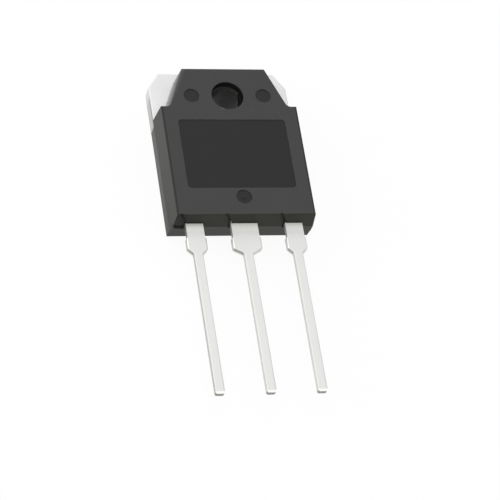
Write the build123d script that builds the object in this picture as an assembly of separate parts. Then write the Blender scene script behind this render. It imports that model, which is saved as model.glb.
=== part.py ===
"""Moulded three-lead power transistor with a screw tab.

The part lies on its back, metal tab down: +Z is the normal of its printed front,
X runs across the leads and the leads point along -Y. The origin is the centre of
the screw hole on the back plane. Every size is in millimetres.
"""

from build123d import *
import os

# Moulded case, measured from the screw hole's centre
case_width = 15.6
case_thickness = 4.8
case_foot = 15.28  # down to the end that the leads leave from
case_top = 3.82
shoulder_drop = 1.13
shoulder_width = 0.8  # ledge between a side wall and the slanted side's foot
shoulder_fillet = 0.6
slant_run = 2.12  # how far a slanted side leans in on its way to the top

# Draft of the moulded walls: how far the front edge stands back from the parting line
side_draft = 0.24
foot_draft = 0.21
shoulder_draft = 0.23
top_draft = 0.3
slant_top_draft = 0.25
slant_foot_draft = 0.45
rear_side_draft = 0.03
rear_foot_draft = 0.45
front_edge_round = 0.12

# Screw hole
bore_diameter = 3.2
mouth_diameter = 3.56
mouth_depth = 0.9
mouth_taper = 0.18
lining_wall = 0.55  # moulding between the screw and the metal

# Marking field and the round marks that the mould's pins leave
field_drop = 3.12  # hole centre to the field's near edge
field_side_margin = 1.85
field_foot_margin = 3.5
field_recess = 0.05
field_corner = 0.4
upper_mark_diameter = 1.68
upper_mark_inset = 3.8  # from the side walls
lower_mark_diameter = 1.65
lower_mark_rise = 2.4  # above the case's end
lower_mark_pip = 0.5
mark_recess = 0.08

# Metal tab
tab_thickness = 1.6
tab_top = 5.0
tab_corner_run = 1.2
tab_corner_drop = 1.88
ear_lap = 0.75  # how far the full-width ears run on under the shoulders
neck_wall = 1.0  # moulding beside the tab's neck
foot_wall = 2.37  # moulding beyond the tab's foot
lock_step = 0.35  # ledge round the buried edge that keys the moulding
lock_height = 0.8

# Leads
lead_pitch = 5.45
lead_thickness = 0.6
lead_offset = 2.6  # back plane to the leads' rear face
lead_length = 20.13  # beyond the case
lead_width = 1.0
outer_root_width = 1.9
centre_root_width = 2.9
root_length = 3.02
root_taper = 0.6
# The dam bar is cut off short, which leaves a stub on each side of a root
stub_start = 1.6  # beyond the case
stub_step = 0.12
stub_reach = 0.15  # out from the root's side
root_corner_round = 0.3
root_fillet = 0.35
tip_corner_round = 0.22
tip_bevel_run = 0.25
tip_bevel_drop = 0.1
joggle_flat = 0.2
joggle_run = 1.5
post_width = 2.8
post_length = 1.9
post_neck = 0.8
post_wall = 0.95  # moulding beside an outer lead's post
anchor_notch = 0.25

# Relief in the end face beside each lead
slot_width = 0.34
slot_lap = 0.12  # how far its foot laps the lead's edge
slot_depth = 0.45  # at the lead plane
slot_front_depth = 0.12  # where it runs out at the front edge
slot_lean = 0.62  # how far the slot drifts outwards on its way to the front edge
slot_bow = 0.15  # how far its middle lags behind a straight line
slot_drop = 0.3  # how far it runs on below the leads' rear plane
tie_slot_height = 0.68
tie_slot_fall = 0.22  # how much lower it reaches beside the lead
tie_slot_edge = 0.25  # solid corner left beside the tie-bar slot

# Silicon chip, its solder and its bond wires
die_width = 6.0
die_length = 5.0
die_thickness = 0.3
die_rise = 5.35  # above the tab's foot
solder_thickness = 0.08
solder_fillet = 0.15
source_wire_diameter = 0.4
source_wire_spacing = 1.1
source_wire_inset = 1.1
gate_wire_diameter = 0.2
gate_wire_inset = 0.8
wire_cover = 0.9  # front face down to the middle of the wires' loops
# A wire's flattened foot and its bends, in wire diameters
bond_foot_length = 2.0
bond_foot_width = 1.3
bond_foot_height = 0.6
bond_bend_radius = 2.0

# Places and half sizes that follow
half_width = case_width / 2
slant_foot = half_width - shoulder_width
field_foot = -case_foot + field_foot_margin
tab_ear_foot = -shoulder_drop - ear_lap
tab_neck = half_width - neck_wall
tab_foot = -case_foot + foot_wall
lead_front = lead_offset + lead_thickness
die_middle = tab_foot + die_rise
die_top = tab_thickness + solder_thickness + die_thickness
lining_diameter = bore_diameter + 2 * lining_wall
post_top = -case_foot + post_neck + post_length
post_middle = half_width - post_wall - post_width / 2
wire_loop_top = case_thickness - wire_cover
# Cutting tools reach this far past the faces that they cut
reach = case_thickness
# Two places closer than this are the same place
same = 0.001


def block(x_min, x_max, y_min, y_max, z_min, z_max):
    """Box between two corners."""
    centre = Pos((x_min + x_max) / 2, (y_min + y_max) / 2, (z_min + z_max) / 2)
    return centre * Box(x_max - x_min, y_max - y_min, z_max - z_min)


def disc(x, y, z_min, z_max, diameter):
    """Upright cylinder between two heights."""
    return Pos(x, y, (z_min + z_max) / 2) * Cylinder(diameter / 2, z_max - z_min)


def mirrored_outline(right_half):
    """Closed outline from the points of its right half, listed from top to bottom."""
    left_half = [(-x, y) for x, y in reversed(right_half)]
    return Polyline(*right_half, *left_half, close=True)


def side_prism(profile, width):
    """Extrude a closed profile of (y, z) points by a width centred on x = 0."""
    face = make_face(Polyline(*[(0, y, z) for y, z in profile], close=True))
    return extrude(face, amount=width / 2, dir=(1, 0, 0), both=True)


# ---------------------------------------------------------------- metal frame


def lead_blade(root_width, inner_end):
    """Flat stamped lead, centred on x = 0, from inner_end out to its tip."""
    tip_y = -case_foot - lead_length
    root_y = -case_foot - root_length
    stub_y = -case_foot - stub_start
    half_root = root_width / 2
    half_stub = half_root + stub_reach
    half_lead = lead_width / 2
    outline = mirrored_outline(
        [
            (half_root, inner_end),
            (half_root, stub_y),
            (half_stub, stub_y - stub_step),
            (half_stub, root_y),
            (half_lead, root_y - root_taper),
            (half_lead, tip_y),
        ]
    )
    blade = Pos(0, 0, lead_offset) * extrude(make_face(outline), amount=lead_thickness)
    blade = round_corners(blade, root_y, root_corner_round)
    blade = round_corners(blade, root_y - root_taper, root_fillet)
    blade = round_corners(blade, tip_y, tip_corner_round)
    return bevelled_tip(blade, tip_y)


def round_corners(blade, y, radius):
    """Round a blade's upright corners at one distance along the lead."""
    upright = blade.edges().filter_by(Axis.Z)
    return fillet(upright.filter_by(lambda edge: abs(edge.center().Y - y) < same), radius)


def bevelled_tip(blade, tip_y):
    """Coin a bevel across the front edge of a lead's tip."""
    wedge = [
        (tip_y - tip_bevel_run, lead_front - 2 * tip_bevel_drop),
        (tip_y + 2 * tip_bevel_run, lead_front + tip_bevel_drop),
        (tip_y - tip_bevel_run, lead_front + tip_bevel_drop),
    ]
    return blade - side_prism(wedge, 2 * lead_width)


def tab_plate():
    """Heat-spreading plate with chamfered top corners, ears and a keyed neck."""
    full = make_face(
        mirrored_outline(
            [
                (half_width - tab_corner_run, tab_top),
                (half_width, tab_top - tab_corner_drop),
                (half_width, tab_ear_foot),
                (tab_neck, tab_ear_foot),
                (tab_neck, tab_foot),
            ]
        )
    )
    plate = extrude(full, amount=tab_thickness)
    # The lower part of the buried edge is stepped in, so that the moulding grips it
    beyond = -2 * case_foot
    for side in (-1, 1):
        near, far = sorted((side * (tab_neck - lock_step), side * case_width))
        plate -= block(near, far, beyond, tab_ear_foot, -reach, lock_height)
    plate -= block(-case_width, case_width, beyond, tab_foot + lock_step, -reach, lock_height)
    return plate - disc(0, 0, -reach, reach, lining_diameter)


def joggle():
    """Step that lifts the centre lead from the tab's plane to the lead plane."""
    rise_start = tab_foot - joggle_flat
    rise_end = rise_start - joggle_run
    low = tab_thickness - lead_thickness
    rise = lead_offset - low
    # Shift along the slope that keeps the rising part about as thick as the lead
    slope_length = (joggle_run**2 + rise**2) ** 0.5
    shift = lead_thickness * (slope_length - joggle_run) / rise
    profile = [
        (tab_foot, low),
        (rise_start, low),
        (rise_end, lead_offset),
        (-case_foot, lead_offset),
        (-case_foot, lead_front),
        (rise_end + shift, lead_front),
        (rise_start + shift, tab_thickness),
        (tab_foot, tab_thickness),
    ]
    return side_prism(profile, centre_root_width)


def tab_and_centre_lead():
    """Tab, joggle and centre lead, stamped as one piece."""
    return tab_plate() + joggle() + lead_blade(centre_root_width, -case_foot)


def outer_lead(side):
    """Outer lead with a wider bond post and a pair of anchor notches in the case."""
    x = side * lead_pitch
    post_foot = post_top - post_length
    lead = Pos(x, 0, 0) * lead_blade(outer_root_width, post_foot)
    post_x = side * post_middle
    half_post = post_width / 2
    lead += block(post_x - half_post, post_x + half_post, post_foot, post_top, lead_offset, lead_front)
    for edge_x in (x - outer_root_width / 2, x + outer_root_width / 2):
        lead -= disc(edge_x, -case_foot + post_neck / 2, lead_offset, lead_front, 2 * anchor_notch)
    return lead


# ------------------------------------------------------------ chip and wiring


def die():
    """Silicon chip."""
    low = tab_thickness + solder_thickness
    foot = die_middle - die_length / 2
    return block(-die_width / 2, die_width / 2, foot, foot + die_length, low, die_top)


def die_solder():
    """Solder layer that holds the chip on the tab."""
    half_x = die_width / 2 + solder_fillet
    half_y = die_length / 2 + solder_fillet
    top = tab_thickness + solder_thickness
    return block(-half_x, half_x, die_middle - half_y, die_middle + half_y, tab_thickness, top)


def bond_wire(start, end, diameter):
    """Bond wire between a flattened foot on the chip and one on a lead post."""
    foot_height = bond_foot_height * diameter
    start_point = Vector(start[0], start[1], die_top + foot_height)
    end_point = Vector(end[0], end[1], lead_front + foot_height)
    along = Vector(end[0] - start[0], end[1] - start[1], 0)
    direction = along.normalized()
    first_rise = wire_loop_top - start_point.Z
    last_fall = wire_loop_top - end_point.Z
    lead_in = start_point + direction * first_rise + Vector(0, 0, first_rise)
    lead_out = end_point - direction * last_fall + Vector(0, 0, last_fall)
    bend_radius = bond_bend_radius * diameter
    path = FilletPolyline(start_point, lead_in, lead_out, end_point, radius=bend_radius)
    section = Plane(origin=path @ 0, z_dir=path % 0) * Circle(diameter / 2)
    wire = sweep(section, path=path)
    turn = Vector(1, 0, 0).get_signed_angle(direction)
    foot = Box(bond_foot_length * diameter, bond_foot_width * diameter, foot_height)
    foot = Rot(0, 0, turn) * foot
    wire += Pos(start[0], start[1], die_top + foot_height / 2) * foot
    wire += Pos(end[0], end[1], lead_front + foot_height / 2) * foot
    return wire


def wires():
    """Gate wire to the left post and a pair of source wires to the right post."""
    chip_foot = die_middle - die_length / 2
    bond_y = post_top - post_length / 2
    made = {
        "gate_wire": bond_wire(
            (-die_width / 2 + gate_wire_inset, chip_foot + gate_wire_inset),
            (-post_middle, bond_y),
            gate_wire_diameter,
        )
    }
    for number, side in enumerate((-1, 1), start=1):
        shift = side * source_wire_spacing / 2
        made[f"source_wire_{number}"] = bond_wire(
            (source_wire_inset + shift, chip_foot + source_wire_inset),
            (post_middle + shift, bond_y),
            source_wire_diameter,
        )
    return made


# --------------------------------------------------------------- moulded case


def front_outline(z, draft):
    """Front half's outline at a height, each wall set back by a share of its draft."""
    top_y = case_top - draft * top_draft
    top_x = slant_foot - slant_run - draft * slant_top_draft
    shoulder_y = -shoulder_drop - draft * shoulder_draft
    slant_x = slant_foot - draft * slant_foot_draft
    side_x = half_width - draft * side_draft
    foot_y = -case_foot - reach
    outline = mirrored_outline(
        [(top_x, top_y), (slant_x, shoulder_y), (side_x, shoulder_y), (side_x, foot_y)]
    )
    face = make_face(outline)
    inner = face.vertices().filter_by(
        lambda v: abs(abs(v.X) - slant_x) < same and abs(v.Y - shoulder_y) < same
    )
    return Pos(0, 0, z) * fillet(inner, shoulder_fillet)


def case_block():
    """Solid body of the moulding, before anything is let into it."""
    front = loft(
        [front_outline(tab_thickness, 0), front_outline(case_thickness, 1)], ruled=True
    )
    rear_half = half_width - rear_side_draft
    rear_profile = make_face(
        Polyline(
            (-rear_half, 0, 0),
            (rear_half, 0, 0),
            (half_width, 0, tab_thickness),
            (-half_width, 0, tab_thickness),
            close=True,
        )
    )
    rear = Pos(0, tab_ear_foot, 0) * extrude(rear_profile, amount=case_foot + reach, dir=(0, -1, 0))
    # The end face is parted at the leads' rear plane and drafted both ways from there
    end_profile = [
        (-case_foot + rear_foot_draft, 0),
        (-case_foot, lead_offset),
        (-case_foot + foot_draft, case_thickness),
        (case_foot, case_thickness),
        (case_foot, 0),
    ]
    body = (front + rear) & side_prism(end_profile, 2 * case_width)
    front_face = body.faces().sort_by(Axis.Z)[-1]
    return fillet(front_face.edges(), front_edge_round)


def lining():
    """Ring of moulding that lines the tab's hole."""
    return disc(0, 0, 0, tab_thickness, lining_diameter)


def screw_hole():
    """Bore with a wider mouth that runs into it through a short taper."""
    mouth_floor = case_thickness - mouth_depth
    hole = disc(0, 0, -reach, 2 * reach, bore_diameter)
    hole += disc(0, 0, mouth_floor, 2 * reach, mouth_diameter)
    step = Pos(0, 0, mouth_floor - mouth_taper / 2)
    return hole + step * Cone(bore_diameter / 2, mouth_diameter / 2, mouth_taper)


def front_marks():
    """Shallow marking field and mould-pin marks in the front face."""
    field_width = 2 * (half_width - field_side_margin)
    field_length = -field_drop - field_foot
    field = RectangleRounded(field_width, field_length, field_corner)
    field_place = Pos(0, field_foot + field_length / 2, case_thickness - field_recess)
    cuts = field_place * extrude(field, amount=reach)
    floor = case_thickness - mark_recess
    for side in (-1, 1):
        x = side * (half_width - upper_mark_inset)
        cuts += disc(x, 0, floor, floor + reach, upper_mark_diameter)
    lower_y = -case_foot + lower_mark_rise
    ring = disc(0, lower_y, floor, floor + reach, lower_mark_diameter)
    return cuts + (ring - disc(0, lower_y, 0, 2 * reach, lower_mark_pip))


def lead_slot(x, root_width):
    """Narrow slot beside a lead's left edge that leans outwards and fades to the front."""
    inner = x - root_width / 2 + slot_lap
    middle = (lead_offset + case_thickness) / 2

    def side_line(shift):
        return ThreePointArc(
            (inner - shift, 0, lead_offset),
            (inner - shift - slot_lean / 2 + slot_bow, 0, middle),
            (inner - shift - slot_lean, 0, case_thickness),
        )

    near = side_line(0)
    far = side_line(slot_width)
    face = make_face([near, Line(near @ 1, far @ 1), far, Line(far @ 0, near @ 0)])
    slot = Pos(0, -case_foot, 0) * extrude(face, amount=slot_depth, dir=(0, 1, 0))
    deep = -case_foot + slot_depth
    low = lead_offset - slot_drop
    slot += block(inner - slot_width, inner, -case_foot, deep, low, lead_offset)
    depth_profile = [
        (-case_foot, low),
        (deep, low),
        (deep, lead_front),
        (-case_foot + foot_draft + slot_front_depth, case_thickness),
        (-case_foot, case_thickness),
    ]
    return slot & side_prism(depth_profile, 2 * case_width)


def end_relief():
    """Slots beside the leads and the cut tie bar's slot at the left corner."""
    leads = ((-lead_pitch, outer_root_width), (0, centre_root_width), (lead_pitch, outer_root_width))
    cuts = [lead_slot(x, root_width) for x, root_width in leads]
    left = -half_width + tie_slot_edge
    right = -lead_pitch - outer_root_width / 2
    low = lead_offset - slot_drop
    tie_slot = [
        (left, 0, low),
        (right, 0, low - tie_slot_fall),
        (right, 0, low + tie_slot_height),
        (left, 0, low + tie_slot_height),
    ]
    face = make_face(Polyline(*tie_slot, close=True))
    cuts.append(Pos(0, -case_foot + slot_depth, 0) * extrude(face, amount=case_foot, dir=(0, -1, 0)))
    return cuts


def moulded_case(buried):
    """Moulding with its hole, marks and relief, shaped round everything in it."""
    case = case_block() + lining()
    case -= screw_hole()
    case -= front_marks()
    for cut in end_relief():
        case -= cut
    for piece in buried:
        case -= piece
    return case


# ---------------------------------------------------------------------- build

nodes = {
    "tab_and_centre_lead": tab_and_centre_lead(),
    "left_lead": outer_lead(-1),
    "right_lead": outer_lead(1),
    "die_solder": die_solder(),
    "die": die(),
    **wires(),
}
nodes["moulded_case"] = moulded_case(list(nodes.values()))

os.makedirs("parts", exist_ok=True)
for name, solid in nodes.items():
    export_step(solid, f"parts/{name}.step")
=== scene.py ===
import math

import bpy
from mathutils import Matrix, Vector


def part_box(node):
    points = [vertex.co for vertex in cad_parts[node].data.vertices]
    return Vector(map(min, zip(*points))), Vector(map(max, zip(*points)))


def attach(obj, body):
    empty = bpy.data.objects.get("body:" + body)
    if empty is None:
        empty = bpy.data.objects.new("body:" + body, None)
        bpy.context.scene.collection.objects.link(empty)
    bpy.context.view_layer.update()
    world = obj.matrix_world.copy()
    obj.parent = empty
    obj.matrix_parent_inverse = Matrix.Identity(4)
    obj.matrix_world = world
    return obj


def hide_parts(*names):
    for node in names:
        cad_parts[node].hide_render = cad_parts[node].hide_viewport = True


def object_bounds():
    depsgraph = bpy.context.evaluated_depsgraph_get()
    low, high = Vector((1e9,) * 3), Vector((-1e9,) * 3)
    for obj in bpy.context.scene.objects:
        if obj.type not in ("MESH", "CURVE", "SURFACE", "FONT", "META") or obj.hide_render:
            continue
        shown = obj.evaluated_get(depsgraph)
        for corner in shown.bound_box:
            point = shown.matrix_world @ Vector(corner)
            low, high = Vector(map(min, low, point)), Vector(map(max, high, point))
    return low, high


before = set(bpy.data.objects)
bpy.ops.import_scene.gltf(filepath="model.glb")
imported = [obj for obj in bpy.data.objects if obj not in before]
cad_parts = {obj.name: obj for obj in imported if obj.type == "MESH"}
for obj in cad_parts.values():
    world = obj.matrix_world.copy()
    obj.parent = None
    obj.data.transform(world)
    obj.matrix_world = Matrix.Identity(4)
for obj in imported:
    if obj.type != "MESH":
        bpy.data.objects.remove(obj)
cad_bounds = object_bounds()

mm = 0.001

# ------------------------------------------------------------ sizes and places
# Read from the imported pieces
case_low, case_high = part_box("moulded_case")
left_lead_low, left_lead_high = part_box("left_lead")
right_lead_low, right_lead_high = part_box("right_lead")
case_half = case_high.x
case_foot = case_low.y
case_top = case_high.y
case_front = case_high.z
lead_rear = left_lead_low.z
lead_front = left_lead_high.z
lead_tip = left_lead_low.y
tab_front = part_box("die_solder")[0].z
left_lead_x = (left_lead_low.x + left_lead_high.x) / 2
right_lead_x = (right_lead_low.x + right_lead_high.x) / 2
object_middle = (cad_bounds[0] + cad_bounds[1]) / 2

# Moulded case
field_side_margin = 1.85 * mm
field_top = -3.12 * mm
field_foot = case_foot + 3.5 * mm
field_corner = 0.4 * mm
field_border = 0.1 * mm
mark_x = case_half - 3.8 * mm
mark_radius = 0.84 * mm
mark_border = 0.06 * mm
lower_mark_y = case_foot + 2.4 * mm
shoulder_y = -1.13 * mm
slant_foot = case_half - 0.8 * mm
slant_run = 2.12 * mm
ear_foot = -1.88 * mm
mouth_radius = 1.78 * mm
mouth_floor = case_front - 0.738 * mm
streak_slope = 0.62  # how fast the bore's painted highlight streak turns with depth
streak_start = 1.4 * mm
# Middle of the painted glint on the screw hole's near rim
rim_glint_spot = (-0.66 * mm, -1.4 * mm)
relief_depth = 0.9 * mm
tie_bar_x = left_lead_x - 1.1 * mm
tie_middle = (0.15 * mm - case_half, case_foot + 0.1 * mm, lead_rear + 0.04 * mm)
tie_half = (0.3 * mm, 0.24 * mm, 0.32 * mm)
side_draft = 0.24 * mm
foot_draft = 0.21 * mm
rear_foot_draft = 0.45 * mm
outer_root_half = 0.95 * mm
centre_root_half = 1.45 * mm
stub_start = case_foot - 1.6 * mm
taper_start = case_foot - 3.1 * mm

# Finishing
hairline = 0.02 * mm  # the finest border between two finishes
roll_radius = 0.16 * mm  # rolled front edges of the tab and the leads
roll_segments = 3
merge_distance = 0.0005 * mm
touch = 0.01 * mm  # how far from a plane a corner may lie and still count as on it


# ----------------------------------------------------------------- node tools


def add_node(tree, kind, inputs=None, **settings):
    """Add a node, set its settings, and set or link its inputs by name or number."""
    node = tree.nodes.new(kind)
    for name, value in settings.items():
        setattr(node, name, value)
    for name, value in (inputs or {}).items():
        if isinstance(value, bpy.types.NodeSocket):
            tree.links.new(value, node.inputs[name])
        else:
            node.inputs[name].default_value = value
    return node


def maths(tree, operation, *values):
    """Math node's output."""
    return add_node(tree, "ShaderNodeMath", dict(enumerate(values)), operation=operation).outputs[0]


def vector_maths(tree, operation, *values, output=0):
    """Vector math node's output."""
    inputs = {index: value for index, value in enumerate(values) if value is not None}
    return add_node(tree, "ShaderNodeVectorMath", inputs, operation=operation).outputs[output]


def remap(tree, value, low, high, to_low=0.0, to_high=1.0, smooth=True):
    """Map a value from one range to another, held at its ends."""
    node = add_node(
        tree,
        "ShaderNodeMapRange",
        {"Value": value, "From Min": low, "From Max": high, "To Min": to_low, "To Max": to_high},
        interpolation_type="SMOOTHSTEP" if smooth else "LINEAR",
    )
    return node.outputs["Result"]


def noise(tree, point, size, detail=2.0, roughness=0.5):
    """Noise whose features are about one size across."""
    scale = maths(tree, "DIVIDE", 1.0, size)
    inputs = {"Vector": point, "Scale": scale, "Detail": detail, "Roughness": roughness}
    return add_node(tree, "ShaderNodeTexNoise", inputs).outputs["Fac"]


def blend_colours(tree, factor, first, second):
    """Mix two colours by a factor."""
    node = tree.nodes.new("ShaderNodeMix")
    node.data_type = "RGBA"
    for socket, value in zip((node.inputs[0], node.inputs[6], node.inputs[7]), (factor, first, second)):
        if isinstance(value, bpy.types.NodeSocket):
            tree.links.new(value, socket)
        else:
            socket.default_value = value
    return node.outputs[2]


def split(tree, vector):
    """A vector's x, y and z."""
    return add_node(tree, "ShaderNodeSeparateXYZ", {0: vector}).outputs


def overlap(tree, first, *others):
    """Where all masks hold: their product."""
    for other in others:
        first = maths(tree, "MULTIPLY", first, other)
    return first


def paint(tree, under, mask, over, share=1.0):
    """Lay one colour over another where a mask holds, at a share of its full strength."""
    return blend_colours(tree, mask if share == 1.0 else overlap(tree, mask, share), under, over)


def grey(value, warmth=0.0):
    """Linear grey of one brightness, warmed by holding back its blue."""
    return (value, value, value * (1 - warmth), 1.0)


def start_group(name, inputs, outputs):
    """Shader group with named sockets. Gives the tree, its input node and its output node."""
    tree = bpy.data.node_groups.new(name, "ShaderNodeTree")
    kinds = {"value": "NodeSocketFloat", "vector": "NodeSocketVector", "colour": "NodeSocketColor"}
    for socket_name, kind in inputs.items():
        tree.interface.new_socket(socket_name, in_out="INPUT", socket_type=kinds[kind])
    for socket_name, kind in outputs.items():
        tree.interface.new_socket(socket_name, in_out="OUTPUT", socket_type=kinds[kind])
    return tree, tree.nodes.new("NodeGroupInput").outputs, tree.nodes.new("NodeGroupOutput").inputs


def use_group(tree, group, **inputs):
    """Place a group with its own values. Underscores in names stand for spaces."""
    node = tree.nodes.new("ShaderNodeGroup")
    node.node_tree = group
    for name, value in inputs.items():
        socket = node.inputs[name.replace("_", " ").capitalize()]
        if isinstance(value, bpy.types.NodeSocket):
            tree.links.new(value, socket)
        else:
            socket.default_value = value
    return node.outputs


# ------------------------------------------------------------- shared effects


def make_box_mask():
    """1 inside a box with rounded corners, 0 outside, with a soft border."""
    tree, given, result = start_group(
        "box_mask",
        {"Point": "vector", "Middle": "vector", "Half size": "vector", "Corner": "value", "Border": "value"},
        {"Mask": "value"},
    )
    away = vector_maths(tree, "SUBTRACT", given["Point"], given["Middle"])
    away = vector_maths(tree, "ABSOLUTE", away)
    away = vector_maths(tree, "SUBTRACT", away, given["Half size"])
    corner = add_node(tree, "ShaderNodeCombineXYZ", dict.fromkeys(range(3), given["Corner"])).outputs[0]
    away = vector_maths(tree, "MAXIMUM", vector_maths(tree, "ADD", away, corner), (0.0, 0.0, 0.0))
    distance = vector_maths(tree, "LENGTH", away, output=1)
    outside = maths(tree, "SUBTRACT", distance, given["Corner"])
    tree.links.new(remap(tree, outside, given["Border"], 0.0), result["Mask"])
    return tree


def make_disc_mask():
    """1 inside an upright cylinder, 0 outside, with a soft border."""
    tree, given, result = start_group(
        "disc_mask",
        {"Point": "vector", "Middle": "vector", "Radius": "value", "Border": "value"},
        {"Mask": "value"},
    )
    away = vector_maths(tree, "SUBTRACT", given["Point"], given["Middle"])
    away = vector_maths(tree, "MULTIPLY", away, (1.0, 1.0, 0.0))
    distance = vector_maths(tree, "LENGTH", away, output=1)
    outside = maths(tree, "SUBTRACT", distance, given["Radius"])
    tree.links.new(remap(tree, outside, given["Border"], 0.0), result["Mask"])
    return tree


def make_surface_grain():
    """Fine grain over slow clouds: a tone for the colour and a height for the bump."""
    tree, given, result = start_group(
        "surface_grain",
        {"Point": "vector", "Grain size": "value", "Cloud size": "value", "Cloud share": "value"},
        {"Tone": "value", "Height": "value"},
    )
    grains = noise(tree, given["Point"], given["Grain size"], detail=3.0, roughness=0.6)
    clouds = noise(tree, given["Point"], given["Cloud size"], detail=2.0)
    rest = maths(tree, "SUBTRACT", 1.0, given["Cloud share"])
    cloudy = maths(tree, "MULTIPLY", clouds, given["Cloud share"])
    tone = maths(tree, "ADD", cloudy, maths(tree, "MULTIPLY", grains, rest))
    tree.links.new(tone, result["Tone"])
    tree.links.new(grains, result["Height"])
    return tree


def make_drawn_streaks():
    """Long thin streaks along one direction, as rolling leaves on strip metal."""
    tree, given, result = start_group(
        "drawn_streaks",
        {"Point": "vector", "Stretch": "vector", "Streak width": "value"},
        {"Tone": "value", "Height": "value"},
    )
    stretched = vector_maths(tree, "DIVIDE", given["Point"], given["Stretch"])
    streaks = noise(tree, stretched, given["Streak width"], detail=4.0, roughness=0.55)
    tree.links.new(remap(tree, streaks, 0.3, 0.7), result["Tone"])
    tree.links.new(streaks, result["Height"])
    return tree


def make_edge_wear():
    """Broken band along outer edges, where handling rubs the surface."""
    tree, given, result = start_group(
        "edge_wear",
        {"Point": "vector", "Width": "value", "Patch size": "value", "Amount": "value"},
        {"Mask": "value"},
    )
    normal = add_node(tree, "ShaderNodeNewGeometry").outputs["Normal"]
    rounded = add_node(tree, "ShaderNodeBevel", {"Radius": given["Width"]}, samples=6).outputs["Normal"]
    agreement = vector_maths(tree, "DOT_PRODUCT", normal, rounded, output=1)
    edge = remap(tree, agreement, 0.995, 0.93)
    patches = remap(tree, noise(tree, given["Point"], given["Patch size"], detail=4.0), 0.42, 0.62)
    tree.links.new(overlap(tree, edge, patches, given["Amount"]), result["Mask"])
    return tree


def make_dust():
    """Sparse pale specks on faces that look up."""
    tree, given, result = start_group(
        "dust",
        {"Point": "vector", "Speck size": "value", "Amount": "value"},
        {"Mask": "value"},
    )
    cells = add_node(
        tree,
        "ShaderNodeTexVoronoi",
        {"Vector": given["Point"], "Scale": maths(tree, "DIVIDE", 1.0, given["Speck size"])},
    )
    speck = remap(tree, cells.outputs["Distance"], 0.16, 0.05)
    chance = add_node(tree, "ShaderNodeSeparateColor", {0: cells.outputs["Color"]}).outputs[0]
    chosen = remap(tree, chance, 0.93, 0.97)
    normal = add_node(tree, "ShaderNodeNewGeometry").outputs["Normal"]
    upward = remap(tree, split(tree, normal)[2], 0.6, 0.95)
    tree.links.new(overlap(tree, speck, chosen, upward, given["Amount"]), result["Mask"])
    return tree


box_mask = make_box_mask()
disc_mask = make_disc_mask()
surface_grain = make_surface_grain()
drawn_streaks = make_drawn_streaks()
edge_wear = make_edge_wear()
dust = make_dust()


# ------------------------------------------------------------------ materials


def start_material(name, **shader_values):
    """Material with a Principled shader. Gives it, its tree, the shader and the object's coordinates."""
    material = bpy.data.materials.new(name)
    material.use_nodes = True
    tree = material.node_tree
    shader = tree.nodes["Principled BSDF"]
    for socket_name, value in shader_values.items():
        shader.inputs[socket_name.replace("_", " ")].default_value = value
    point = add_node(tree, "ShaderNodeTexCoord").outputs["Object"]
    return material, tree, shader, point


def set_bump(tree, shader, height, distance, strength):
    """Bump from a height, with its depth in metres."""
    bump = add_node(tree, "ShaderNodeBump", {"Height": height, "Distance": distance, "Strength": strength})
    tree.links.new(bump.outputs["Normal"], shader.inputs["Normal"])


class Surface:
    """A material's node tree with the object's coordinates and normal, whole and split."""

    def __init__(self, tree, point):
        self.tree = tree
        self.point = point
        self.x, self.y, self.z = split(tree, point)
        normal = add_node(tree, "ShaderNodeNewGeometry").outputs["Normal"]
        self.normal_x, self.normal_y, self.normal_z = split(tree, normal)

    def box(self, middle, half_size, border, corner=0.0):
        """Mask of a box in the object's own coordinates."""
        shape = {"middle": middle, "half_size": half_size, "corner": corner, "border": border}
        return use_group(self.tree, box_mask, point=self.point, **shape)["Mask"]

    def disc(self, x, y, radius, border):
        """Mask of an upright cylinder in the object's own coordinates."""
        shape = {"middle": (x, y, 0), "radius": radius, "border": border}
        return use_group(self.tree, disc_mask, point=self.point, **shape)["Mask"]


def field_and_marks(surface):
    """Masks of the marking field and of the pins' round marks on the front face."""
    tree = surface.tree
    border = Vector((field_border, field_border, 0))
    half_size = Vector((case_half - field_side_margin, (field_top - field_foot) / 2, mm)) - border / 2
    middle = Vector((0, (field_top + field_foot) / 2, case_front))
    field = surface.box(middle, half_size, field_border, field_corner)
    marks = 0.0
    for x, y in ((-mark_x, 0), (mark_x, 0), (0, lower_mark_y)):
        marks = maths(tree, "ADD", marks, surface.disc(x, y, mark_radius, mark_border))
    below_mark, mark_floor = case_front - 0.25 * mm, case_front - 0.12 * mm
    on_front = remap(tree, surface.z, below_mark, mark_floor)
    facing_front = remap(tree, surface.normal_z, 0.4, 0.8)
    return field, overlap(tree, marks, on_front, facing_front)


def relief_mask(surface):
    """Mask of the reliefs beside the leads, which lie behind the plane of the end face."""
    tree, z = surface.tree, surface.z
    behind = maths(tree, "SUBTRACT", surface.y, case_foot)
    front_slope = remap(tree, z, lead_rear, case_front, 0.0, foot_draft, smooth=False)
    rear_slope = remap(tree, z, lead_rear, 0.0, 0.0, rear_foot_draft, smooth=False)
    behind = maths(tree, "SUBTRACT", maths(tree, "SUBTRACT", behind, front_slope), rear_slope)
    side_margin, height_margin = 0.2 * mm, 0.14 * mm
    near_end = surface.box(
        middle=(0, case_foot, case_front / 2),
        half_size=(case_half - side_margin, relief_depth, case_front / 2 - height_margin),
        border=hairline,
    )
    # The shallow upper part of a relief catches more light than its foot
    shallow_height = 1.0 * mm
    fading_up = remap(tree, z, lead_front + shallow_height, lead_front)
    return overlap(tree, remap(tree, behind, hairline, 4 * hairline), near_end, fading_up)


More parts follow.
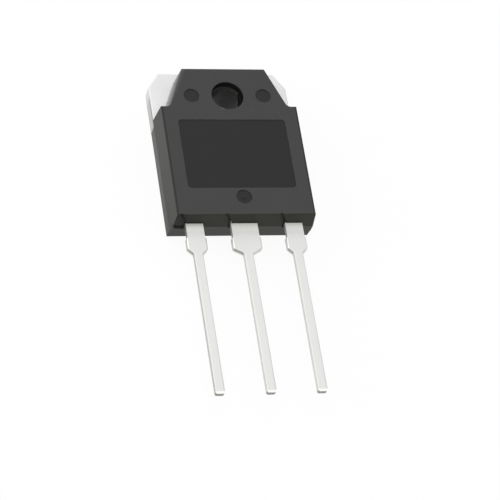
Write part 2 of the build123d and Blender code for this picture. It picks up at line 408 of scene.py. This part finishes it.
def end_face_masks(surface):
    """Masks of the end face above the leads' plane, painted in shade, of the painted shadow lines over the
    leads, and of the tie bar's corner.
    """
    tree = surface.tree
    end_face = remap(tree, surface.normal_y, -0.6, -0.8)
    above_leads = remap(tree, surface.z, lead_rear - 0.05 * mm, lead_rear + hairline)
    upper_end_shade = overlap(tree, end_face, above_leads)
    lead_line_shadows = 0.0
    line_height, line_overhang, line_border = 0.1 * mm, 0.05 * mm, 0.12 * mm
    line_half_depth, line_half_height = 0.5 * mm, 0.16 * mm
    for lead_x, root_half in (
        (left_lead_x, outer_root_half),
        (0.0, centre_root_half),
        (right_lead_x, outer_root_half),
    ):
        line = surface.box(
            middle=(lead_x, case_foot, lead_front + line_height),
            half_size=(root_half + line_overhang, line_half_depth, line_half_height),
            border=line_border,
        )
        lead_line_shadows = maths(tree, "ADD", lead_line_shadows, line)
    beside_root = remap(tree, surface.x, tie_bar_x + 0.3 * mm, tie_bar_x)
    return upper_end_shade, overlap(tree, lead_line_shadows, end_face), overlap(tree, upper_end_shade, beside_root)


def wall_masks(surface):
    """Masks of the walls, their darker foot, the sides' rear half painted paler as if lit from the floor,
    and the painted shade lines along the parting line and the front edges.
    """
    tree, z = surface.tree, surface.z
    on_wall = remap(tree, surface.normal_z, 0.8, 0.3)
    foot_share, parting_share, arris_share = 0.85, 0.3, 0.6
    towards_foot = remap(tree, surface.y, case_foot / 2, case_foot, 0.0, foot_share, smooth=False)
    on_side = remap(tree, maths(tree, "ABSOLUTE", surface.normal_x), 0.8, 0.95)
    behind_parting = remap(tree, z, tab_front + hairline, tab_front - hairline)
    off_parting = maths(tree, "ABSOLUTE", maths(tree, "SUBTRACT", z, tab_front))
    parting = overlap(tree, on_side, remap(tree, off_parting, 0.24 * mm, 0.06 * mm), parting_share)
    # The painted shade line lies on the walls just outside the front face's edge
    across = maths(tree, "ABSOLUTE", surface.x)
    line_start, line_full = case_half - side_draft - 0.26 * mm, case_half - side_draft - 0.16 * mm
    line_foot, line_top = case_front - 0.16 * mm, case_front - 0.1 * mm
    outside_front = remap(tree, across, line_start, line_full)
    arris = overlap(tree, outside_front, remap(tree, z, line_foot, line_top), arris_share)
    painted_shade_lines = maths(tree, "MAXIMUM", parting, arris)
    return on_wall, overlap(tree, on_wall, towards_foot), overlap(tree, on_side, behind_parting), painted_shade_lines


def slant_masks(surface):
    """Masks of the slanted walls' gloss and painted reflection of the tab, and of that painted highlight's
    run over the left front edge.

    The slanted walls are drag-polished by the mould's steel; their gloss and the painted reflection of the
    bright tab are strongest near the tab.
    """
    tree = surface.tree
    left_at_front = 0.06
    near_tab = remap(tree, surface.z, tab_front, case_front - 0.2 * mm, 1.0, left_at_front, smooth=False)
    facing_up = remap(tree, surface.normal_y, 0.15, 0.3)
    facing_side = remap(tree, maths(tree, "ABSOLUTE", surface.normal_x), 0.5, 0.7)
    slanted = overlap(tree, facing_up, facing_side, near_tab)
    along = Vector((slant_run, case_top - shoulder_y, 0)).normalized()
    outward = Vector((-along.y, along.x, 0))
    edge = outward.dot(Vector((-slant_foot, shoulder_y, 0)))
    outwards = vector_maths(tree, "DOT_PRODUCT", surface.point, tuple(outward), output=1)
    run_start, run_full = edge - 0.85 * mm, edge - 0.4 * mm
    run_foot, run_top = shoulder_y - 0.2 * mm, 1.2 * mm
    highlight_over_edge = overlap(
        tree,
        remap(tree, outwards, run_start, run_full),
        remap(tree, surface.y, run_foot, run_top),
        remap(tree, surface.normal_z, 0.7, 0.9),
    )
    return slanted, highlight_over_edge


def paint_hole(surface, colour):
    """Paint the screw hole over a colour. Gives the colour, the hole's mask and its dark part's mask.

    The mouth and the right wall are painted black as shadow, with a painted highlight streak beside the
    shadowed wall and a painted glow of light from below in the deep bore. The streak turns with depth, and
    it grows paler with it.
    """
    tree, z = surface.tree, surface.z
    below_rim = remap(tree, z, case_front - hairline, case_front - 4 * hairline)
    in_hole = overlap(tree, surface.disc(0, 0, mouth_radius, 2 * hairline), below_rim)
    mouth = remap(tree, z, mouth_floor - 3 * hairline, mouth_floor + 3 * hairline)
    shade_depth, shade_share = 0.45 * mm, 0.4
    shade_under_mouth = remap(tree, z, mouth_floor - shade_depth, mouth_floor, 0.0, shade_share, smooth=False)

    depth = maths(tree, "SUBTRACT", case_front, z)
    turned = maths(tree, "ADD", surface.y, maths(tree, "MULTIPLY", depth, streak_slope))
    right_half = remap(tree, surface.x, 0.2 * mm, 0.5 * mm)
    wall_border, streak_half, glow_width = 0.05 * mm, 0.11 * mm, 0.75 * mm
    right_wall_shadow = overlap(tree, right_half, remap(tree, turned, streak_start + wall_border, streak_start))
    dark = maths(tree, "MAXIMUM", mouth, right_wall_shadow)
    streak_middle = streak_start + 0.12 * mm
    off_streak = maths(tree, "ABSOLUTE", maths(tree, "SUBTRACT", turned, streak_middle))
    highlight_streak = remap(tree, off_streak, streak_half, hairline)
    highlight_streak = overlap(tree, highlight_streak, right_half, maths(tree, "SUBTRACT", 1.0, dark), in_hole)
    pale_from, pale_full, palest = 1.2 * mm, 2.2 * mm, 3.6 * mm
    deep = remap(tree, depth, pale_from, pale_full)
    deepest = remap(tree, depth, pale_full, palest)
    glow = remap(tree, turned, streak_start + glow_width, streak_middle)
    glow = overlap(tree, glow, right_half, deep, in_hole)
    dark = overlap(tree, dark, in_hole)

    glow_colour = blend_colours(tree, deepest, grey(0.15), grey(0.45))
    highlight_streak_colour = blend_colours(tree, deep, grey(0.02), grey(0.4))
    # Painted shade over the hole's wall, deepest just under the mouth, then the painted glow, the painted
    # streak and the painted shadow
    colour = paint(tree, colour, in_hole, grey(0.006), share=0.45)
    colour = paint(tree, colour, overlap(tree, shade_under_mouth, in_hole), grey(0.002))
    colour = paint(tree, colour, glow, glow_colour, share=0.6)
    colour = paint(tree, colour, highlight_streak, highlight_streak_colour, share=0.75)
    colour = paint(tree, colour, dark, grey(0.002))
    # A painted glint on the mouth's near rim
    rim_glint = surface.disc(*rim_glint_spot, radius=0.25 * mm, border=0.16 * mm)
    return paint(tree, colour, rim_glint, grey(0.12), share=0.8), in_hole, dark


def epoxy_moulding():
    """Matte black epoxy: grained walls, smoother marking field and pin marks, reliefs dark in their hollows,
    and painted light and shade on the walls, the end face, the reliefs and the screw hole.
    """
    material, tree, shader, point = start_material(
        "epoxy_moulding", Specular_IOR_Level=0.2, Coat_Roughness=0.3, Coat_IOR=1.9
    )
    surface = Surface(tree, point)
    field, marks = field_and_marks(surface)
    relief = relief_mask(surface)
    upper_end_shade, lead_line_shadows, tie_corner = end_face_masks(surface)
    on_wall, low_on_wall, on_rear_wall, painted_shade_lines = wall_masks(surface)
    slanted, highlight_over_edge = slant_masks(surface)
    # Painted shade of the cut tie bar's notch, where it runs out over the case's corner
    tie_notch_shade = surface.box(tie_middle, tie_half, border=0.08 * mm)
    at_tie = remap(tree, surface.x, tie_bar_x + 0.2 * mm, tie_bar_x)

    sizes = {"grain_size": 0.11 * mm, "cloud_size": 2.6 * mm, "cloud_share": 0.55}
    grain = use_group(tree, surface_grain, point=point, **sizes)
    front = blend_colours(tree, grain["Tone"], grey(0.038, 0.05), grey(0.05, -0.03))
    walls = blend_colours(tree, grain["Tone"], grey(0.034, 0.25), grey(0.047))
    rear_walls_floor_lit = blend_colours(tree, grain["Tone"], grey(0.064, 0.1), grey(0.086))
    smooth_black = blend_colours(tree, grain["Tone"], grey(0.01), grey(0.015))
    high_on_slant = remap(tree, surface.y, 0.4 * mm, 2.2 * mm)
    # Painted reflection of the bright tab, paler lower down the slant
    painted_tab_reflection = blend_colours(tree, high_on_slant, grey(0.225, 0.06), grey(0.165, 0.06))
    # Painted light: the reliefs get a paler colour than the epoxy round them, most at the tie bar, to lift
    # the shade in them
    relief_lift_colour = blend_colours(tree, at_tie, grey(0.058, 0.05), grey(0.07, 0.05))

    colour = blend_colours(tree, on_wall, front, walls)
    # Painted light: the sides' rear half is paler, as if lit from the floor
    colour = paint(tree, colour, on_rear_wall, rear_walls_floor_lit)
    colour = paint(tree, colour, low_on_wall, grey(0.025, 0.2))
    # Painted reflection of the tab on the slanted walls, running on as a painted highlight over the left
    # front edge
    colour = paint(tree, colour, slanted, painted_tab_reflection, share=0.75)
    colour = paint(tree, colour, highlight_over_edge, grey(0.085, 0.03), share=0.7)
    # Painted shade on the end face's upper band and painted shadow lines over the leads; the patch by the
    # tie bar is darker still
    colour = paint(tree, colour, upper_end_shade, grey(0.0205, 0.25))
    colour = paint(tree, colour, lead_line_shadows, grey(0.008, 0.2))
    colour = paint(tree, colour, tie_corner, grey(0.0125, 0.15))
    # Painted shade lines along the parting line and the front edges
    colour = paint(tree, colour, painted_shade_lines, grey(0.006))
    colour = paint(tree, colour, tie_notch_shade, grey(0.014, 0.05))
    colour = paint(tree, colour, field, smooth_black)
    colour = paint(tree, colour, marks, grey(0.015))
    wear = {"width": 0.09 * mm, "patch_size": 0.5 * mm, "amount": 0.3}
    worn = use_group(tree, edge_wear, point=point, **wear)["Mask"]
    colour = paint(tree, colour, worn, grey(0.09, 0.01))
    specks = use_group(tree, dust, point=point, speck_size=0.42 * mm, amount=0.5)["Mask"]
    specks = overlap(tree, specks, maths(tree, "SUBTRACT", 1.0, field))
    colour = paint(tree, colour, specks, grey(0.2))
    # Painted light over the reliefs
    colour = paint(tree, colour, relief, relief_lift_colour)
    colour, in_hole, dark_in_hole = paint_hole(surface, colour)
    tree.links.new(colour, shader.inputs["Base Color"])

    calm = maths(tree, "MAXIMUM", field, marks)
    hollow = maths(tree, "MAXIMUM", relief, dark_in_hole)
    rough = remap(tree, grain["Tone"], 0.2, 0.8, 0.46, 0.56, smooth=False)
    calm_gain, hollow_loss = 0.06, 0.3
    rough = maths(tree, "SUBTRACT", rough, maths(tree, "MULTIPLY", calm, calm_gain))
    rough = maths(tree, "ADD", rough, maths(tree, "MULTIPLY", hollow, hollow_loss))
    tree.links.new(rough, shader.inputs["Roughness"])

    slant_gloss, hole_gloss = 0.9, 0.02
    gloss = overlap(tree, slanted, slant_gloss)
    gloss = maths(tree, "MAXIMUM", gloss, overlap(tree, in_hole, hole_gloss))
    gloss = overlap(tree, gloss, maths(tree, "SUBTRACT", 1.0, hollow))
    tree.links.new(gloss, shader.inputs["Coat Weight"])

    grain_lost = 0.75
    grain_left = maths(tree, "SUBTRACT", 1.0, maths(tree, "MULTIPLY", calm, grain_lost))
    height = maths(tree, "MULTIPLY", grain["Height"], grain_left)
    set_bump(tree, shader, height, distance=0.012 * mm, strength=0.6)
    return material


def rolled_face_colour(surface, tone, on_lead):
    """Colour of the strip's rolled faces: the tab, the leads, and the leads' roots."""
    tree, y = surface.tree, surface.y
    tab = blend_colours(tree, tone, grey(0.72), grey(0.82, -0.01))
    # Painted shade: the tab is darker towards its far end, so it reads brighter beside the case
    shaded_tab_end = blend_colours(tree, tone, grey(0.66), grey(0.76, -0.01))
    towards_end = remap(tree, y, 1.0 * mm, 4.0 * mm)
    tab = paint(tree, tab, towards_end, shaded_tab_end, share=0.8)
    lead = blend_colours(tree, tone, grey(0.64, 0.03), grey(0.72, 0.01))
    colour = blend_colours(tree, on_lead, tab, lead)
    # Painted light: the roots are painted bright beside the case, to lift the shade the case casts on them
    lift_start, lift_full = case_foot - 1.2 * mm, case_foot - 0.1 * mm
    root = overlap(tree, remap(tree, y, lift_start, lift_full), on_lead)
    colour = paint(tree, colour, root, grey(0.97, 0.05))
    # The left root is darker where it leaves the case
    darkening_start = case_foot - 0.35 * mm
    at_case = remap(tree, y, darkening_start, lift_full)
    at_left = remap(tree, surface.x, left_lead_x + 1.5 * mm, left_lead_x + mm)
    left_root_darkening = overlap(tree, at_case, at_left, on_lead)
    return paint(tree, colour, left_root_darkening, grey(0.4, 0.05), share=0.22)


def sheared_edge_colour(surface, tone, on_lead, beside_case):
    """Colour of the edges that the die sheared: the tab's, the leads' and the cut dam bar's."""
    tree, x, y, z = surface.tree, surface.x, surface.y, surface.z
    towards_middle = remap(tree, x, left_lead_x, 0.0)
    # Painted light: the centre and right leads' sheared edges are lighter than the left lead's
    left_lead = blend_colours(tree, tone, grey(0.42, 0.05), grey(0.5, 0.05))
    other_leads_painted_lighter = blend_colours(tree, tone, grey(0.56, 0.05), grey(0.65, 0.05))
    lead = blend_colours(tree, towards_middle, left_lead, other_leads_painted_lighter)
    tab = blend_colours(tree, tone, grey(0.4, 0.02), grey(0.48))
    burr_foot, burr_top = tab_front - 0.6 * mm, tab_front - 0.15 * mm
    tab = paint(tree, tab, remap(tree, z, burr_foot, burr_top), grey(0.3, 0.02))
    # The cut corners of the tab are cleaner than its sides
    corner_start, corner_full = 1.2 * mm, 2.6 * mm
    tab = paint(tree, tab, remap(tree, y, corner_start, corner_full), grey(0.6))
    tab = paint(tree, tab, remap(tree, surface.normal_y, 0.15, 0.4), grey(0.85))
    colour = blend_colours(tree, on_lead, tab, lead)
    # The cut dam bar leaves its stubs raw, darkest where they face the tip, with painted light on their
    # faces that look right
    towards_tip = remap(tree, surface.normal_y, -0.3, -0.7)
    past_stub_start = remap(tree, y, stub_start, stub_start - 0.1 * mm)
    short_of_tip = remap(tree, y, lead_tip + mm, lead_tip + 2 * mm)
    stubs = overlap(tree, towards_tip, past_stub_start, short_of_tip)
    lit_facing_right = remap(tree, surface.normal_x, -0.1, 0.3)
    raw = blend_colours(tree, lit_facing_right, grey(0.34, 0.05), grey(0.75, 0.05))
    rear_arris = remap(tree, z, lead_rear + 0.3 * mm, lead_rear + 0.1 * mm)
    raw = paint(tree, raw, rear_arris, grey(0.75, 0.05))
    colour = paint(tree, colour, stubs, raw)
    # The narrower necks beside the case lie in its shade
    shaded = blend_colours(tree, towards_middle, grey(0.18, 0.05), grey(0.36, 0.05))
    return paint(tree, colour, beside_case, shaded)


def tin_plating():
    """Matte tin over stamped copper: rolled faces, duller sheared edges, roots painted bright against the
    case's shade, and cut tips, with painted highlights on the roots' left edges and the tips' bevels.
    """
    material, tree, shader, point = start_material("tin_plating", Metallic=0.3)
    surface = Surface(tree, point)
    y = surface.y
    streak_sizes = {"stretch": (1.0, 30.0, 1.0), "streak_width": 0.12 * mm}
    streaks = use_group(tree, drawn_streaks, point=point, **streak_sizes)
    grain_sizes = {"grain_size": 0.05 * mm, "cloud_size": 3.0 * mm, "cloud_share": 0.8}
    grain = use_group(tree, surface_grain, point=point, **grain_sizes)
    streak_share = 0.2
    streaked = maths(tree, "MULTIPLY", streaks["Tone"], streak_share)
    tone = maths(tree, "ADD", streaked, maths(tree, "MULTIPLY", grain["Tone"], 1 - streak_share))
    on_lead = remap(tree, surface.z, tab_front + 0.2 * mm, tab_front + 0.4 * mm)
    beside_case = overlap(tree, on_lead, remap(tree, y, stub_start, stub_start + 0.2 * mm))
    edge = remap(tree, maths(tree, "ABSOLUTE", surface.normal_z), 0.93, 0.55)

    colour = rolled_face_colour(surface, tone, on_lead)
    sheared = sheared_edge_colour(surface, grain["Tone"], on_lead, beside_case)
    colour = paint(tree, colour, edge, sheared)
    # Painted highlight on the roots' left rolled edges, between the stubs and the taper
    glint = overlap(
        tree,
        remap(tree, surface.normal_x, -0.1, -0.35),
        remap(tree, surface.normal_z, 0.55, 0.75),
        remap(tree, y, taper_start, taper_start + 0.3 * mm),
        maths(tree, "SUBTRACT", on_lead, beside_case),
    )
    colour = paint(tree, colour, glint, grey(1.0, 0.03))
    # Painted highlight on the tip's bevel; its cut end is raw
    at_tip = overlap(
        tree,
        remap(tree, y, lead_tip + 0.4 * mm, lead_tip + 0.2 * mm),
        remap(tree, surface.normal_y, -0.15, -0.3),
    )
    on_bevel = remap(tree, surface.normal_z, 0.5, 0.65)
    tip_colour = blend_colours(tree, on_bevel, grey(0.31, 0.05), grey(0.95, 0.03))
    colour = paint(tree, colour, at_tip, tip_colour)
    tree.links.new(colour, shader.inputs["Base Color"])

    rough = remap(tree, tone, 0.2, 0.8, 0.42, 0.52, smooth=False)
    edge_loss = 0.1
    rough = maths(tree, "ADD", rough, maths(tree, "MULTIPLY", edge, edge_loss))
    tree.links.new(rough, shader.inputs["Roughness"])
    streak_relief = 0.4
    streak_height = maths(tree, "MULTIPLY", streaks["Height"], streak_relief)
    height = maths(tree, "ADD", streak_height, maths(tree, "MULTIPLY", grain["Height"], 1 - streak_relief))
    set_bump(tree, shader, height, distance=0.004 * mm, strength=0.4)
    return material


def sawn_silicon():
    """Dark silicon chip with a faint blue cast."""
    material, tree, shader, point = start_material("sawn_silicon", Metallic=0.6)
    sizes = {"grain_size": 0.04 * mm, "cloud_size": 1.2 * mm, "cloud_share": 0.7}
    tone = use_group(tree, surface_grain, point=point, **sizes)["Tone"]
    colour = blend_colours(tree, tone, (0.05, 0.055, 0.07, 1), (0.09, 0.1, 0.12, 1))
    tree.links.new(colour, shader.inputs["Base Color"])
    tree.links.new(remap(tree, tone, 0.2, 0.8, 0.15, 0.3), shader.inputs["Roughness"])
    return material


def soft_solder():
    """Dull grey solder with a frosty skin."""
    material, tree, shader, point = start_material("soft_solder", Metallic=1.0)
    sizes = {"grain_size": 0.08 * mm, "cloud_size": 0.8 * mm, "cloud_share": 0.4}
    grain = use_group(tree, surface_grain, point=point, **sizes)
    tree.links.new(blend_colours(tree, grain["Tone"], grey(0.3), grey(0.45)), shader.inputs["Base Color"])
    tree.links.new(remap(tree, grain["Tone"], 0.2, 0.8, 0.4, 0.6), shader.inputs["Roughness"])
    set_bump(tree, shader, grain["Height"], distance=0.01 * mm, strength=0.6)
    return material


def drawn_aluminium():
    """Bright bond wire with fine draw lines."""
    material, tree, shader, point = start_material("drawn_aluminium", Metallic=1.0)
    sizes = {"stretch": (1.0, 12.0, 1.0), "streak_width": 0.04 * mm}
    tone = use_group(tree, drawn_streaks, point=point, **sizes)["Tone"]
    tree.links.new(blend_colours(tree, tone, grey(0.7), grey(0.82)), shader.inputs["Base Color"])
    tree.links.new(remap(tree, tone, 0.2, 0.8, 0.22, 0.34), shader.inputs["Roughness"])
    return material


# --------------------------------------------------------------- mesh tools


def finish_piece(piece, material):
    """Give a piece its material, body and slot."""
    piece.data.materials.clear()
    piece.data.materials.append(material)
    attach(piece, "root")
    return piece


def select_only(piece):
    """Make one piece the only selected and active object."""
    bpy.ops.object.select_all(action="DESELECT")
    piece.select_set(True)
    bpy.context.view_layer.objects.active = piece


def select_edges(piece, wanted):
    """Select the edges whose two faces and ends pass a test, in edit mode."""
    bpy.ops.object.mode_set(mode="EDIT")
    bpy.ops.mesh.select_mode(type="EDGE")
    bpy.ops.mesh.select_all(action="DESELECT")
    bpy.ops.object.mode_set(mode="OBJECT")
    mesh = piece.data
    faces_of_edge = {edge.key: [] for edge in mesh.edges}
    for face in mesh.polygons:
        for key in face.edge_keys:
            faces_of_edge[key].append(face.normal)
    for edge in mesh.edges:
        ends = [mesh.vertices[index].co for index in edge.vertices]
        edge.select = wanted(ends, faces_of_edge[edge.key])
    bpy.ops.object.mode_set(mode="EDIT")


def is_sharp(normals, least=math.radians(30)):
    """Whether two faces meet at an edge with a clear turn."""
    return len(normals) == 2 and normals[0].angle(normals[1]) > least


def merged_copy(node, name):
    """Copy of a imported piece, its triangles joined and its flat faces made whole."""
    piece = bpy.data.objects.new(name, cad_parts[node].data.copy())
    bpy.context.scene.collection.objects.link(piece)
    select_only(piece)
    bpy.ops.mesh.customdata_custom_splitnormals_clear()
    bpy.ops.object.mode_set(mode="EDIT")
    bpy.ops.mesh.select_all(action="SELECT")
    bpy.ops.mesh.remove_doubles(threshold=merge_distance)
    bpy.ops.mesh.dissolve_limited(angle_limit=math.radians(0.5))
    bpy.ops.object.mode_set(mode="OBJECT")
    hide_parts(node)
    return piece


def roll_edges(piece, wanted):
    """Round the edges that a test picks."""
    select_edges(piece, wanted)
    bpy.ops.mesh.bevel(offset=roll_radius, segments=roll_segments, profile=0.5, affect="EDGES")
    bpy.ops.object.mode_set(mode="OBJECT")


def smooth_by_angle(piece, angle=math.radians(35)):
    """Shade a piece smooth, except across clear edges."""
    select_only(piece)
    bpy.ops.object.shade_smooth_by_angle(angle=angle)
    modifier = piece.modifiers.new("flat_faces_stay_flat", "WEIGHTED_NORMAL")
    modifier.keep_sharp = True
    modifier.weight = 100
    bpy.ops.object.modifier_apply(modifier=modifier.name)


# --------------------------------------------------------------------- pieces


def outside_case(ends):
    """Whether an edge lies on the leads' free part."""
    return all(end.y < case_foot - 2 * touch for end in ends)


def on_lead_front(ends):
    """Whether an edge bounds a lead's front face, away from its tip."""
    front = all(end.z > lead_front - touch for end in ends)
    at_tip = all(end.y < lead_tip + 0.3 * mm for end in ends)
    return front and outside_case(ends) and not at_tip


def plated_lead(node, name, material):
    """Outer lead with rolled front edges."""
    piece = merged_copy(node, name)
    roll_edges(piece, lambda ends, faces: on_lead_front(ends) and is_sharp(faces))
    smooth_by_angle(piece)
    return finish_piece(piece, material)


def plated_tab(material):
    """Tab and centre lead with rolled front edges."""
    piece = merged_copy("tab_and_centre_lead", "tab_and_centre_lead_plated")

    def rolled_edge(ends, faces):
        tab_edge = all(abs(end.z - tab_front) < touch and end.y > ear_foot - touch for end in ends)
        in_hole = all(math.hypot(end.x, end.y) < 3 * mm for end in ends)
        return is_sharp(faces) and (on_lead_front(ends) or (tab_edge and not in_hole))

    roll_edges(piece, rolled_edge)
    smooth_by_angle(piece)
    return finish_piece(piece, material)


def build_pieces():
    """All shown pieces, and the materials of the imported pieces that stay."""
    moulding = epoxy_moulding()
    plating = tin_plating()
    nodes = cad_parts
    for node, material in (
        ("moulded_case", moulding),
        ("die", sawn_silicon()),
        ("die_solder", soft_solder()),
    ):
        nodes[node].material_slots[0].material = material
    aluminium = drawn_aluminium()
    for node in ("gate_wire", "source_wire_1", "source_wire_2"):
        nodes[node].material_slots[0].material = aluminium
    plated_lead("left_lead", "left_lead_plated", plating)
    plated_lead("right_lead", "right_lead_plated", plating)
    plated_tab(plating)


# ---------------------------------------------------------------------- stage


def shown_to_eye(tree):
    """1 for rays that show a surface to the eye, in gloss or through glass, 0 for lighting rays."""
    rays = add_node(tree, "ShaderNodeLightPath").outputs
    seen = maths(tree, "MAXIMUM", rays["Is Camera Ray"], rays["Is Glossy Ray"])
    return maths(tree, "MAXIMUM", seen, rays["Is Transmission Ray"])


def make_floor():
    """Wide white floor that keeps a faint shadow."""
    bpy.ops.object.select_all(action="DESELECT")
    gap = 0.02 * mm
    floor_size = 4.0
    bpy.ops.mesh.primitive_plane_add(size=floor_size, location=(0, 0, cad_bounds[0].z - gap))
    floor = bpy.context.object
    floor.name = "studio_floor"
    material = bpy.data.materials.new("white_floor")
    material.use_nodes = True
    tree = material.node_tree
    shader = tree.nodes["Principled BSDF"]
    shader.inputs["Base Color"].default_value = grey(0.9)
    shader.inputs["Roughness"].default_value = 0.9
    glow = add_node(tree, "ShaderNodeEmission", {"Color": grey(1.0), "Strength": 1.0})
    shadow_left = 0.07
    share = maths(tree, "MULTIPLY", shown_to_eye(tree), 1.0 - shadow_left)
    mix = add_node(tree, "ShaderNodeMixShader", {0: share, 1: shader.outputs[0], 2: glow.outputs[0]})
    tree.links.new(mix.outputs[0], tree.nodes["Material Output"].inputs["Surface"])
    floor.data.materials.append(material)


def make_world(lighting_strength):
    """Soft white room, plain white to the eye."""
    world = bpy.data.worlds.new("studio_room")
    bpy.context.scene.world = world
    world.use_nodes = True
    tree = world.node_tree
    background = tree.nodes["Background"]
    background.inputs["Color"].default_value = grey(1.0)
    strength = remap(tree, shown_to_eye(tree), 0.0, 1.0, lighting_strength, 1.0, smooth=False)
    tree.links.new(strength, background.inputs["Strength"])


def add_softbox(name, direction, distance, size, power):
    """Square area lamp that looks at the object from one direction."""
    data = bpy.data.lights.new(name, "AREA")
    data.shape = "SQUARE"
    data.size = size
    data.energy = power
    lamp = bpy.data.objects.new(name, data)
    towards = Vector(direction).normalized()
    lamp.location = object_middle + towards * distance
    lamp.rotation_euler = towards.to_track_quat("Z", "Y").to_euler()
    bpy.context.scene.collection.objects.link(lamp)


def make_camera():
    """Long lens, held a little rolled, above and to the left of the leads' ends."""
    azimuth = math.radians(-28.032)
    elevation = math.radians(56.081)
    roll = math.radians(23.228)
    distance = 275.44 * mm
    focal_length = 187.62
    aim = object_middle + Vector((0.401, -2.845, 0.0)) * mm
    back = Vector(
        (
            math.sin(azimuth) * math.cos(elevation),
            -math.cos(azimuth) * math.cos(elevation),
            math.sin(elevation),
        )
    )
    data = bpy.data.cameras.new("product_camera")
    data.sensor_width = 36.0
    data.lens = focal_length
    camera = bpy.data.objects.new("product_camera", data)
    upright = back.to_track_quat("Z", "Y").to_matrix().to_4x4()
    camera.matrix_world = Matrix.Translation(aim + back * distance) @ upright @ Matrix.Rotation(roll, 4, "Z")
    bpy.context.scene.collection.objects.link(camera)
    bpy.context.scene.camera = camera


build_pieces()
make_floor()
make_world(lighting_strength=0.75)
add_softbox("overhead_softbox", direction=(-0.2, 0.3, 1.0), distance=0.5, size=0.5, power=0.75)
add_softbox("left_softbox", direction=(-1.0, 0.2, 0.35), distance=0.5, size=0.4, power=1.0)
make_camera()
bpy.context.scene.view_settings.view_transform = "Standard"
